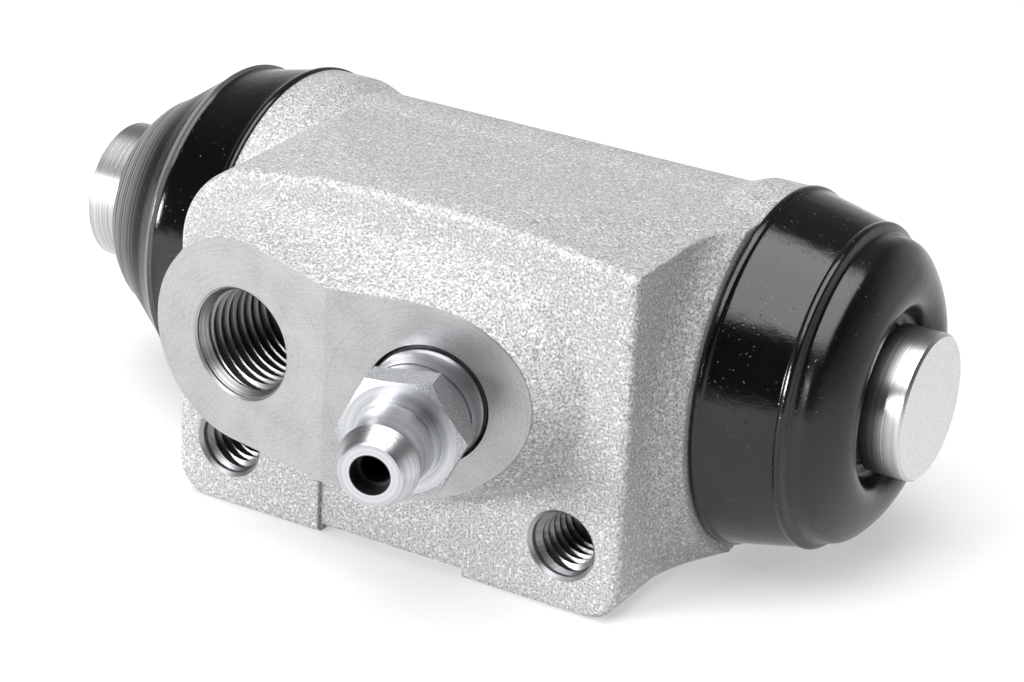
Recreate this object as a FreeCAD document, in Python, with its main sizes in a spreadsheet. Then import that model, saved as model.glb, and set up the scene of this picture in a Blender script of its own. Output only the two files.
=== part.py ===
"""Hydraulic wheel cylinder for a drum brake: a cast housing with two opposed pistons, cup seals,
a return spring, dust boots and a bleed screw.

The sheet holds every driving size in millimetres. The model's origin is the point midway between
the two fixing holes on the mounting face; +X runs along the bore towards the right piston, -Y
points out of the mounting face and +Z is up.
"""

import FreeCAD, Part
import Sketcher
import math
import os

SIZES = {
    # Where the bore lies from the origin
    "bore_to_face": 23.5,
    "bore_height": 10.3,
    # The bore and the turned outside of the housing, as radii and as distances from its middle
    "bore_radius": 9.525,
    "bore_chamfer": 0.8,
    "barrel_radius": 15.35,
    "barrel_ramp_start": 19.0,
    "collar_radius": 16.2,
    "collar_start": 21.3,
    "collar_end": 24.8,
    "spigot_radius": 13.2,
    "spigot_end": 31.0,
    "boot_groove_start": 27.0,
    "boot_groove_width": 2.0,
    "boot_groove_depth": 0.8,
    # The block in front of the bore, heights from the bore axis
    "block_half_width": 22.7,
    "block_foot": 16.6,
    "block_foot_back": 9.0,
    "block_crown": 17.7,
    "block_right_top": 15.3,
    "block_left_top": 16.3,
    "block_left_flare_drop": 4.0,
    "block_crown_radius": 118.0,
    "block_corner_radius": 8.4,
    "block_tuck": 0.25,
    "cove_radius": 4.5,
    "cove_centre": 21.0,
    "relief_half_width": 7.5,
    "relief_top": 8.6,
    "relief_depth": 0.4,
    "relief_rise": 0.9,
    "block_foot_corner": 3.2,
    "cast_edge": 0.8,
    # The boss on the mounting face: two lobes, each larger at its root than at its top. The roots
    # lie below the face, as deep as its soft edge
    "boss_rise": 7.4,
    "port_root_x": 11.6,
    "port_root_height": 3.7,
    "port_root_radius": 10.95,
    "bleed_root_x": 8.3,
    "bleed_root_height": 3.4,
    "bleed_root_radius": 11.3,
    "port_top_x": 11.7,
    "port_top_height": 3.0,
    "port_top_radius": 9.1,
    "bleed_top_x": 0.8,
    "bleed_top_height": 1.2,
    "bleed_top_radius": 8.7,
    # The brake pipe port, an M10x1 thread square to its leaning pad
    "port_x": 11.94,
    "port_height": 3.0,
    "port_rise": 6.1,
    "port_lean": 5.7,
    "pipe_thread_radius": 5.0,
    "port_mouth_radius": 5.2,
    "port_thread_depth": 12.0,
    "port_drill_radius": 1.5,
    # The bleed hole, an M10x1 thread with a cone that the screw seats on
    "bleed_x": 6.14,
    "bleed_height": 1.8,
    "bleed_rise": 4.94,
    "bleed_lean": 13.0,
    "bleed_thread_radius": 5.0,
    "bleed_mouth_radius": 5.5,
    "bleed_mouth_depth": 1.2,
    "bleed_thread_depth": 12.0,
    "bleed_drill_radius": 1.5,
    # The two M6x1 fixing holes
    "fixing_spacing": 34.2,
    "fixing_thread_radius": 3.0,
    "fixing_mouth_radius": 3.3,
    "fixing_depth": 10.0,
    # The pistons, how far their flat ends stand from the middle, and their running clearance
    "right_reach": 40.0,
    "left_reach": 45.5,
    "running_clearance": 0.03,
    "piston_length": 21.0,
    "piston_body_length": 12.0,
    "piston_chamfer": 0.5,
    "stem_radius": 6.65,
    "stem_edge": 0.25,
    "stem_groove_radius": 6.0,
    "stem_groove_from_end": 3.9,
    "stem_groove_width": 1.7,
    # The rubber cups behind the pistons
    "cup_clearance": 0.05,
    "cup_heel": 2.2,
    "cup_heel_relief": 0.25,
    "cup_length": 6.5,
    "cup_lip": 1.1,
    "cup_floor_radius": 7.0,
    # The pressed seats that hold the spring inside the cups
    "seat_radius": 6.6,
    "seat_gauge": 0.6,
    "seat_pip_radius": 3.9,
    "seat_pip_height": 1.6,
    # The return spring
    "spring_radius": 5.0,
    "spring_wire_radius": 0.55,
    "spring_turns": 8.0,
    "spring_end_gap": 0.05,
    # The dust boots: their gaps, their wall, and how far each bend stands off what it lies over,
    # which is the collar, the end of the spigot, the end of the piston or the side of its stem
    "boot_gap": 0.05,
    "boot_lip_proud": 0.2,
    "boot_lip_width": 0.7,
    "boot_wall": 1.2,
    "boot_bead_clearance": 0.12,
    "right_shoulder_from_spigot": 1.2,
    "right_shoulder_proud": 1.4,
    "right_crest_from_end": 2.9,
    "right_crest_proud": 3.45,
    "right_dome_radius": 8.0,
    "right_mouth_from_end": 3.7,
    "right_mouth_proud": 1.35,
    "left_ridge_from_spigot": 1.3,
    "left_ridge_proud": 1.9,
    "left_cone_from_spigot": 2.2,
    "left_cone_proud": 1.25,
    "left_fold_from_end": 6.7,
    "left_fold_proud": 3.95,
    "left_mouth_from_end": 4.3,
    "left_mouth_proud": 1.6,
    # The bleed screw, distances along its axis from the mouth of its hole
    "screw_clearance": 0.05,
    "screw_seat_clearance": 0.05,
    "screw_point_radius": 1.9,
    "screw_neck_radius": 3.6,
    "screw_thread_end": 11.2,
    "screw_groove_start": 2.7,
    "screw_groove_end": 3.1,
    "screw_groove_radius": 4.65,
    "hex_start": 4.2,
    "hex_end": 7.1,
    "hex_across_flats": 10.06,
    "hex_face_radius": 4.9,
    "hex_turn": 4.2,
    "nipple_step_radius": 3.75,
    "nipple_step_end": 8.2,
    "nipple_cone_radius": 3.5,
    "nipple_neck": 11.2,
    "nipple_neck_radius": 3.2,
    "nipple_bulb": 12.1,
    "nipple_bulb_radius": 3.55,
    "nipple_end": 14.2,
    "nipple_end_radius": 2.65,
    "nipple_edge": 0.15,
    "screw_mouth_radius": 1.72,
    "screw_mouth_depth": 1.7,
    "screw_bore_radius": 1.4,
    "screw_bore_end": 10.5,
    "cross_hole_radius": 0.9,
    "cross_hole_depth": 11.9,
}

SHEET = "sizes"

doc = FreeCAD.newDocument("wheel_cylinder")
sheet = doc.addObject("Spreadsheet::Sheet", SHEET)
for row, (alias, number) in enumerate(SIZES.items(), start=1):
    sheet.set("A%d" % row, alias)
    sheet.set("B%d" % row, str(number))
    sheet.setAlias("B%d" % row, alias)
doc.recompute()


class Size:
    """A number together with the sheet formula that gives it."""

    def __init__(self, number, formula):
        self.number = number
        self.formula = formula

    def __add__(self, other):
        other = as_size(other)
        return Size(self.number + other.number, "(%s + %s)" % (self.formula, other.formula))

    def __radd__(self, other):
        return as_size(other) + self

    def __sub__(self, other):
        other = as_size(other)
        return Size(self.number - other.number, "(%s - %s)" % (self.formula, other.formula))

    def __rsub__(self, other):
        return as_size(other) - self

    def __mul__(self, other):
        other = as_size(other)
        return Size(self.number * other.number, "(%s * %s)" % (self.formula, other.formula))

    def __rmul__(self, other):
        return as_size(other) * self

    def __truediv__(self, other):
        other = as_size(other)
        return Size(self.number / other.number, "(%s / %s)" % (self.formula, other.formula))

    def __neg__(self):
        return 0 - self


def as_size(value):
    """A plain number as a Size, and a Size as it is."""
    if isinstance(value, Size):
        return value
    return Size(float(value), "%.6f" % value)


def tangent(degrees):
    """The tangent of an angle that the sheet holds in degrees."""
    return Size(math.tan(math.radians(degrees.number)), "tan(%s * 1 deg)" % degrees.formula)


def root(value):
    """The square root of a Size."""
    return Size(math.sqrt(value.number), "sqrt(%s)" % value.formula)


class Sheet:
    """The sheet's cells as attributes, each one a Size."""

    def __getattr__(self, alias):
        return Size(SIZES[alias], "%s.%s" % (SHEET, alias))


s = Sheet()


def bind(thing, path, size):
    """Ties a property of an object to the sheet."""
    thing.setExpression(path, as_size(size).formula)


def new_body(label):
    """A body whose origin lies on the bore axis, in the middle of the housing."""
    body = doc.addObject("PartDesign::Body", label)
    body.Label = label
    body.Placement.Base = FreeCAD.Vector(0, s.bore_to_face.number, s.bore_height.number)
    bind(body, "Placement.Base.y", s.bore_to_face)
    bind(body, "Placement.Base.z", s.bore_height)
    return body


def new_sketch(body, label, plane="XY_Plane", shift=(0, 0, 0), turn=None):
    """A sketch on one of the body's own planes, shifted and turned within it by named sizes."""
    sketch = body.newObject("Sketcher::SketchObject", label)
    support = [item for item in body.Origin.OriginFeatures if item.Role == plane][0]
    sketch.AttachmentSupport = [(support, "")]
    sketch.MapMode = "FlatFace"
    shift = [as_size(value) for value in shift]
    angle = turn.number if turn else 0
    rotation = FreeCAD.Rotation(FreeCAD.Vector(0, 0, 1), angle)
    base = FreeCAD.Vector(*[value.number for value in shift])
    sketch.AttachmentOffset = FreeCAD.Placement(base, rotation)
    for letter, value in zip("xyz", shift):
        bind(sketch, "AttachmentOffset.Base." + letter, value)
    if turn:
        bind(sketch, "AttachmentOffset.Rotation.Angle", turn)
    return sketch


def pin_point(sketch, edge, end, point):
    """Holds one end of an edge at a place given by named sizes."""
    for kind, value in zip(("DistanceX", "DistanceY"), point):
        value = as_size(value)
        index = sketch.addConstraint(Sketcher.Constraint(kind, -1, 1, edge, end, value.number))
        bind(sketch, "Constraints[%d]" % index, value)


def arc_between(start, end, radius, bulge):
    """The arc from start to end. bulge is 1 for an arc that turns left, -1 for one that turns right."""
    across = end - start
    half = across.Length / 2
    drop = math.sqrt(max(radius ** 2 - half ** 2, 0))
    left = FreeCAD.Vector(-across.y, across.x, 0).normalize()
    centre = start + across / 2 + left * drop * bulge
    first, last = (start, end) if bulge > 0 else (end, start)
    angles = [math.atan2(point.y - centre.y, point.x - centre.x) for point in (first, last)]
    circle = Part.Circle(centre, FreeCAD.Vector(0, 0, 1), radius)
    return Part.ArcOfCircle(circle, angles[0], angles[1])


def outline(sketch, steps):
    """Draws a closed outline through the steps and holds every corner to the sheet.

    A step is (across, up) for a straight run to that corner, or (across, up, radius, bulge)
    for an arc to it.
    """
    corners = [(as_size(step[0]), as_size(step[1])) for step in steps]
    places = [FreeCAD.Vector(a.number, b.number, 0) for a, b in corners]
    edges = []
    for index, step in enumerate(steps):
        start = places[index - 1]
        end = places[index]
        if len(step) == 2:
            edges.append((sketch.addGeometry(Part.LineSegment(start, end), False), 1, 2))
        else:
            radius = as_size(step[2])
            edge = sketch.addGeometry(arc_between(start, end, radius.number, step[3]), False)
            edges.append((edge, 1, 2) if step[3] > 0 else (edge, 2, 1))
            place = sketch.addConstraint(Sketcher.Constraint("Radius", edge, radius.number))
            bind(sketch, "Constraints[%d]" % place, radius)
    for index, (edge, _, end) in enumerate(edges):
        following = edges[(index + 1) % len(edges)]
        sketch.addConstraint(Sketcher.Constraint("Coincident", edge, end, following[0], following[1]))
        pin_point(sketch, edge, end, corners[index])


def revolve(body, sketch, label, axis="H_Axis", cut=False):
    """Turns a sketch right round its own across or up axis, as material or as a cut."""
    kind = "PartDesign::Groove" if cut else "PartDesign::Revolution"
    feature = body.newObject(kind, label)
    feature.Profile = sketch
    feature.ReferenceAxis = (sketch, [axis])
    feature.Angle = 360
    return feature


def cut_through(body, sketch, label, length=None, reverse=False):
    """Cuts a sketch right through, or to a named depth."""
    feature = body.newObject("PartDesign::Pocket", label)
    feature.Profile = sketch
    if length is None:
        feature.Type = "ThroughAll"
        feature.Midplane = True
    else:
        feature.Length = length.number
        bind(feature, "Length", length)
        feature.Reversed = reverse
    return feature


def turned(label, steps):
    """A body turned about the bore axis from one outline of (along, radius) steps."""
    body = new_body(label)
    sketch = new_sketch(body, label + "_outline")
    outline(sketch, steps)
    revolve(body, sketch, label + "_turned")
    return body


def drilled(body, label, mouth, turn, steps):
    """A hole cut about a line square to its mouth. Steps are (radius, depth) from the mouth in."""
    sketch = new_sketch(body, label + "_outline", "XY_Plane", mouth, turn)
    outline(sketch, steps)
    return revolve(body, sketch, label, "V_Axis", cut=True)


def rounded(body, label, radius, wanted):
    """Rounds the edges of the body so far whose middle point is one that is wanted."""
    doc.recompute()
    base = body.Tip
    names = []
    for number, edge in enumerate(base.Shape.Edges, start=1):
        middle = edge.valueAt((edge.FirstParameter + edge.LastParameter) / 2)
        if wanted(edge, middle):
            names.append("Edge%d" % number)
    feature = body.newObject("PartDesign::Fillet", label)
    feature.Base = (base, names)
    feature.Radius = radius.number
    bind(feature, "Radius", radius)
    return feature


# The housing

def housing_block(body):
    """The cast block in front of the bore, with the coves that flare out to the collars."""
    left_shoulder = s.block_left_top - s.block_corner_radius
    front = new_sketch(body, "front_outline", "XZ_Plane")
    outline(front, [
        (-s.collar_end, -s.block_foot),
        (s.collar_end, -s.block_foot),
        (s.collar_end, s.block_right_top),
        (s.block_corner_radius - s.block_half_width, s.block_left_top, s.block_crown_radius, 1),
        (-s.block_half_width, left_shoulder, s.block_corner_radius, 1),
        (-s.collar_end, left_shoulder - s.block_left_flare_drop),
    ])
    block = body.newObject("PartDesign::Pad", "block")
    block.Profile = front
    block.Length = s.bore_to_face.number
    bind(block, "Length", s.bore_to_face)

    sides = new_sketch(body, "top_and_foot_slopes", "YZ_Plane")
    far = s.bore_to_face * 2
    outline(sides, [
        (-s.bore_to_face, s.block_crown),
        (0, s.barrel_radius - s.block_tuck),
        (1, s.barrel_radius - s.block_tuck),
        (1, far),
        (-s.bore_to_face, far),
    ])
    outline(sides, [
        (-s.block_foot_back, -s.block_foot),
        (-s.block_foot_back, -far),
        (1, -far),
        (1, s.block_tuck - s.barrel_radius),
        (0, s.block_tuck - s.barrel_radius),
    ])
    cut_through(body, sides, "slopes")

    cove = new_sketch(body, "cove_outline")
    side = s.block_half_width
    drop = root(s.cove_radius * s.cove_radius
                - (s.cove_radius + side - s.collar_end) * (s.cove_radius + side - s.collar_end))
    out = s.collar_end + 1
    for way in (1, -1):
        outline(cove, [
            (way * side, s.bore_to_face * 2),
            (way * side, s.cove_centre),
            (way * s.collar_end, s.cove_centre - drop, s.cove_radius, way),
            (way * out, s.cove_centre - drop),
            (way * out, s.bore_to_face * 2),
        ])
    revolve(body, cove, "coves", cut=True)


def block_edges(body):
    """The round lower corners of the block and the soft cast edge round its mounting face."""
    face = -s.bore_to_face.number
    foot = -s.block_foot.number
    side = s.block_half_width.number
    back = -s.block_foot_back.number

    def at_foot_corner(edge, middle):
        level = abs(middle.z - foot) < 0.01
        return level and abs(middle.x) > side - 0.01 and face < middle.y < back

    def round_face(edge, middle):
        return all(abs(vertex.Y - face) < 0.01 for vertex in edge.Vertexes) and abs(middle.y - face) < 0.01

    rounded(body, "foot_corners", s.block_foot_corner, at_foot_corner)
    rounded(body, "face_edges", s.cast_edge, round_face)


def housing_barrel(body):
    """The turned barrel with its collars, its spigots and the grooves for the boots."""
    barrel = new_sketch(body, "barrel_outline")
    half = [
        (s.spigot_end, 0),
        (s.spigot_end, s.spigot_radius),
        (s.boot_groove_start + s.boot_groove_width, s.spigot_radius),
        (s.boot_groove_start + s.boot_groove_width, s.spigot_radius - s.boot_groove_depth),
        (s.boot_groove_start, s.spigot_radius - s.boot_groove_depth),
        (s.boot_groove_start, s.spigot_radius),
        (s.collar_end, s.spigot_radius),
        (s.collar_end, s.collar_radius),
        (s.collar_start, s.collar_radius),
        (s.barrel_ramp_start, s.barrel_radius),
    ]
    outline(barrel, half + [(-along, radius) for along, radius in reversed(half)])
    revolve(body, barrel, "barrel")


def lobed(sketch, port, bleed):
    """The outline round the two lobes of the boss, with straight sides that touch both circles.

    Each lobe is (distance from the middle, height, radius).
    """
    far_x, far_z, far_radius = port
    near_x, near_z, near_radius = bleed
    across = near_x + far_x
    up = near_z - far_z
    reach_squared = across * across + up * up
    fall = far_radius - near_radius
    run = root(reach_squared - fall * fall)
    corners = []
    for way in (1, -1):
        across_unit = (across * fall - way * up * run) / reach_squared
        up_unit = (up * fall + way * across * run) / reach_squared
        corners.append((near_x + near_radius * across_unit, near_z + near_radius * up_unit))
        corners.append((far_radius * across_unit - far_x, far_z + far_radius * up_unit))
    near_top, far_top, near_foot, far_foot = corners
    outline(sketch, [
        near_top,
        far_top,
        (-(far_x + far_radius), far_z, far_radius, 1),
        (*far_foot, far_radius, 1),
        near_foot,
        (near_x + near_radius, near_z, near_radius, 1),
        (*near_top, near_radius, 1),
    ][1:])


def pad_line(mouth_x, mouth_rise, lean):
    """A leaning pad seen from above: its slope and its place on the bore's plane of symmetry."""
    return lean, -(s.bore_to_face + mouth_rise) - lean * mouth_x


def housing_boss(body):
    """The cast boss with a pad machined square to each of its two leaning holes."""
    root_sketch = new_sketch(body, "boss_root", "XZ_Plane", (0, 0, s.bore_to_face - s.cast_edge))
    lobed(root_sketch,
          (s.port_root_x, s.port_root_height, s.port_root_radius),
          (s.bleed_root_x, s.bleed_root_height, s.bleed_root_radius))
    top_sketch = new_sketch(body, "boss_top", "XZ_Plane", (0, 0, s.bore_to_face + s.boss_rise))
    lobed(top_sketch,
          (s.port_top_x, s.port_top_height, s.port_top_radius),
          (s.bleed_top_x, s.bleed_top_height, s.bleed_top_radius))
    boss = body.newObject("PartDesign::AdditiveLoft", "boss")
    boss.Profile = root_sketch
    boss.Sections = [top_sketch]
    boss.Ruled = True

    port_slope, port_place = pad_line(-s.port_x, s.port_rise, -tangent(s.port_lean))
    bleed_slope, bleed_place = pad_line(s.bleed_x, s.bleed_rise, tangent(s.bleed_lean))
    crease = (port_place - bleed_place) / (bleed_slope - port_slope)
    edge = s.collar_end
    front = -(s.bore_to_face + s.boss_rise * 2)
    pads = new_sketch(body, "pad_cuts")
    outline(pads, [
        (-edge, front),
        (edge, front),
        (edge, bleed_place + bleed_slope * edge),
        (crease, bleed_place + bleed_slope * crease),
        (-edge, port_place - port_slope * edge),
    ])
    cut_through(body, pads, "pads")


def housing_holes(body):
    """The bore, the two leaning threaded holes into it and the two fixing holes."""
    bore = new_sketch(body, "bore_outline")
    end = s.spigot_end + 1
    flare = s.bore_radius + s.bore_chamfer + 1
    straight = s.spigot_end - s.bore_chamfer
    outline(bore, [
        (end, 0),
        (end, flare),
        (straight, s.bore_radius),
        (-straight, s.bore_radius),
        (-end, flare),
        (-end, 0),
    ])
    revolve(body, bore, "bore", cut=True)

    into_bore = s.bore_to_face + s.port_rise - s.bore_radius / 2
    drilled(body, "pipe_port", (-s.port_x, -(s.bore_to_face + s.port_rise), s.port_height),
            -s.port_lean, [
                (0, -1),
                (s.port_mouth_radius, -1),
                (s.port_mouth_radius, 0),
                (s.pipe_thread_radius, s.port_mouth_radius - s.pipe_thread_radius),
                (s.pipe_thread_radius, s.port_thread_depth),
                (s.port_drill_radius, s.port_thread_depth + s.pipe_thread_radius - s.port_drill_radius),
                (s.port_drill_radius, into_bore),
                (0, into_bore),
            ])

    into_bore = s.bore_to_face + s.bleed_rise - s.bore_radius / 2
    drilled(body, "bleed_hole", (s.bleed_x, -(s.bore_to_face + s.bleed_rise), s.bleed_height),
            s.bleed_lean, [
                (0, -1),
                (s.bleed_mouth_radius, -1),
                (s.bleed_mouth_radius, s.bleed_mouth_depth),
                (s.bleed_thread_radius,
                 s.bleed_mouth_depth + s.bleed_mouth_radius - s.bleed_thread_radius),
                (s.bleed_thread_radius, s.bleed_thread_depth),
                (s.bleed_drill_radius,
                 s.bleed_thread_depth + s.bleed_thread_radius - s.bleed_drill_radius),
                (s.bleed_drill_radius, into_bore),
                (0, into_bore),
            ])

    for side, label in ((1, "right_fixing_hole"), (-1, "left_fixing_hole")):
        drilled(body, label, (side * s.fixing_spacing / 2, -s.bore_to_face, -s.bore_height), None, [
            (0, -1),
            (s.fixing_mouth_radius, -1),
            (s.fixing_mouth_radius, 0),
            (s.fixing_thread_radius, s.fixing_mouth_radius - s.fixing_thread_radius),
            (s.fixing_thread_radius, s.fixing_depth),
            (0, s.fixing_depth + s.fixing_thread_radius / 2),
        ])


def housing_relief(body):
    """The shallow relief between the lugs, in the mounting face and in the foot."""
    face = new_sketch(body, "face_relief_outline", "XZ_Plane", (0, 0, s.bore_to_face))
    wide = s.relief_half_width
    outline(face, [
        (-wide, -s.block_foot - 1),
        (wide, -s.block_foot - 1),
        (wide, -s.relief_top),
        (-wide, -s.relief_top),
    ])
    cut_through(body, face, "face_relief", s.relief_depth)
    foot = new_sketch(body, "foot_relief_outline", "YZ_Plane", (0, 0, -wide))
    rise = s.relief_rise - s.block_foot
    outline(foot, [
        (-s.bore_to_face - 1, -s.block_foot - 1),
        (-s.bore_to_face - 1, rise),
        (-s.block_foot_back, rise),
        (-s.block_foot_back, -s.block_foot - 1),
    ])
    cut_through(body, foot, "foot_relief", wide * 2, reverse=True)


housing = new_body("housing")
housing_block(housing)
block_edges(housing)
housing_relief(housing)
housing_barrel(housing)
housing_boss(housing)
housing_holes(housing)


# The pieces that each end of the bore holds

def piston(label, side, reach):
    """A piston: a guided body, and a stem with a flat end and a groove for the boot's bead."""
    inner = reach - s.piston_length
    shoulder = inner + s.piston_body_length
    radius = s.bore_radius - s.running_clearance
    chamfer = s.piston_chamfer
    groove = reach - s.stem_groove_from_end
    turned(label, [
        (side * inner, 0),
        (side * inner, radius - chamfer),
        (side * (inner + chamfer), radius),
        (side * (shoulder - chamfer), radius),
        (side * shoulder, radius - chamfer),
        (side * shoulder, s.stem_radius),
        (side * (groove - s.stem_groove_width), s.stem_radius),
        (side * (groove - s.stem_groove_width), s.stem_groove_radius),
        (side * groove, s.stem_groove_radius),
        (side * groove, s.stem_radius),
        (side * (reach - s.stem_edge), s.stem_radius),
        (side * reach, s.stem_radius - s.stem_edge),
        (side * reach, 0),
    ])


def cup_seal(label, side, reach):
    """A rubber cup against the piston's inner face, with its lip towards the fluid."""
    heel = reach - s.piston_length
    outside = s.bore_radius - s.cup_clearance
    turned(label, [
        (side * heel, 0),
        (side * heel, outside - s.cup_heel_relief),
        (side * (heel - s.cup_length), outside),
        (side * (heel - s.cup_length), outside - s.cup_lip),
        (side * (heel - s.cup_heel), s.cup_floor_radius),
        (side * (heel - s.cup_heel), 0),
    ])


def seat_face(reach):
    """Where the spring rests on the seat inside a cup, from the middle of the housing."""
    return reach - s.piston_length - s.cup_heel - s.seat_gauge


def spring_seat(label, side, reach):
    """A pressed seat in the cup, with a pip that centres the spring."""
    face = seat_face(reach)
    turned(label, [
        (side * (face + s.seat_gauge), 0),
        (side * (face + s.seat_gauge), s.seat_radius),
        (side * face, s.seat_radius),
        (side * face, s.seat_pip_radius),
        (side * (face - s.seat_pip_height), s.seat_pip_radius - s.seat_gauge),
        (side * (face - s.seat_pip_height), 0),
    ])


for side, name, reach in ((1, "right", s.right_reach), (-1, "left", s.left_reach)):
    piston("piston_" + name, side, reach)
    cup_seal("cup_seal_" + name, side, reach)
    spring_seat("spring_seat_" + name, side, reach)


# The return spring

def return_spring():
    """A coil of round wire between the two seats."""
    body = new_body("return_spring")
    start = -seat_face(s.left_reach) + s.spring_wire_radius + s.spring_end_gap
    length = (seat_face(s.left_reach) + seat_face(s.right_reach)
              - 2 * (s.spring_wire_radius + s.spring_end_gap))
    wire = new_sketch(body, "spring_wire", "XY_Plane", (start, 0, 0))
    circle = Part.Circle(FreeCAD.Vector(0, s.spring_radius.number, 0), FreeCAD.Vector(0, 0, 1),
                         s.spring_wire_radius.number)
    edge = wire.addGeometry(circle, False)
    pin_point(wire, edge, 3, (0, s.spring_radius))
    place = wire.addConstraint(Sketcher.Constraint("Radius", edge, s.spring_wire_radius.number))
    bind(wire, "Constraints[%d]" % place, s.spring_wire_radius)
    coil = body.newObject("PartDesign::AdditiveHelix", "spring_coil")
    coil.Profile = wire
    coil.ReferenceAxis = (wire, ["H_Axis"])
    coil.Mode = "height-turns-growth"
    coil.Height = length.number
    coil.Turns = s.spring_turns.number
    bind(coil, "Height", length)
    bind(coil, "Turns", s.spring_turns)


return_spring()


# The dust boots

def boot_collar(side):
    """The inside of a boot where it grips the spigot, from its lip to the spigot's end."""
    hug = s.spigot_radius + s.boot_gap
    bead = hug - s.boot_groove_depth
    start = s.boot_groove_start + s.boot_gap
    end = s.boot_groove_start + s.boot_groove_width - s.boot_gap
    lip = s.collar_end + s.boot_gap
    return [
        (side * end, hug),
        (side * end, bead),
        (side * start, bead),
        (side * start, hug),
        (side * lip, hug),
        (side * lip, s.collar_radius + s.boot_lip_proud),
        (side * (lip + s.boot_lip_width), s.collar_radius + s.boot_lip_proud),
        (side * (lip + s.boot_lip_width), s.collar_radius - s.boot_gap),
    ]


def boot_bead(side, reach):
    """The bead in the stem's groove, with upright sides as high as the stem, outer side first."""
    foot = s.stem_groove_radius + s.boot_bead_clearance
    brim = s.stem_radius + s.boot_bead_clearance
    outer = side * (reach - s.stem_groove_from_end - s.boot_gap)
    inner = side * (reach - s.stem_groove_from_end - s.stem_groove_width + s.boot_gap)
    return [(outer, brim), (outer, foot), (inner, foot), (inner, brim)]


def dust_boot_right():
    """The boot pushed back over its piston: a dome that rolls in to the stem."""
    wall = s.boot_wall
    shoulder = s.spigot_end + s.right_shoulder_from_spigot
    shoulder_radius = s.spigot_radius + s.right_shoulder_proud
    crest = s.right_reach - s.right_crest_from_end
    crest_radius = s.stem_radius + s.right_crest_proud
    mouth = s.right_reach - s.right_mouth_from_end
    mouth_radius = s.stem_radius + s.right_mouth_proud
    turned("dust_boot_right", boot_collar(1) + [
        (shoulder, shoulder_radius),
        (crest, crest_radius, s.right_dome_radius, -1),
        (mouth, mouth_radius, wall, -1),
    ] + boot_bead(1, s.right_reach) + [
        (mouth - wall, mouth_radius + wall / 2),
        (crest - wall, crest_radius),
        (shoulder, shoulder_radius - wall, s.right_dome_radius - wall, 1),
        (s.spigot_end, s.spigot_radius + s.boot_gap),
    ])


def dust_boot_left():
    """The boot drawn out by its piston: a ridge over the spigot's end, a cone and a last fold."""
    wall = s.boot_wall
    ridge = s.spigot_end + s.left_ridge_from_spigot
    ridge_radius = s.spigot_radius + s.left_ridge_proud
    cone = s.spigot_end + s.left_cone_from_spigot
    cone_radius = s.spigot_radius + s.left_cone_proud
    fold = s.left_reach - s.left_fold_from_end
    fold_radius = s.stem_radius + s.left_fold_proud
    mouth = s.left_reach - s.left_mouth_from_end
    mouth_radius = s.stem_radius + s.left_mouth_proud
    turned("dust_boot_left", boot_collar(-1) + [
        (wall - ridge, ridge_radius - wall / 8),
        (-ridge, ridge_radius),
        (-cone, cone_radius),
        (-fold, fold_radius),
        (-mouth, mouth_radius),
    ] + boot_bead(-1, s.left_reach) + [
        (wall / 2 - fold, fold_radius - wall),
        (wall / 2 - cone, cone_radius - wall),
        (-s.spigot_end, s.spigot_radius + s.boot_gap),
    ])


dust_boot_right()
dust_boot_left()


# The bleed screw

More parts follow.
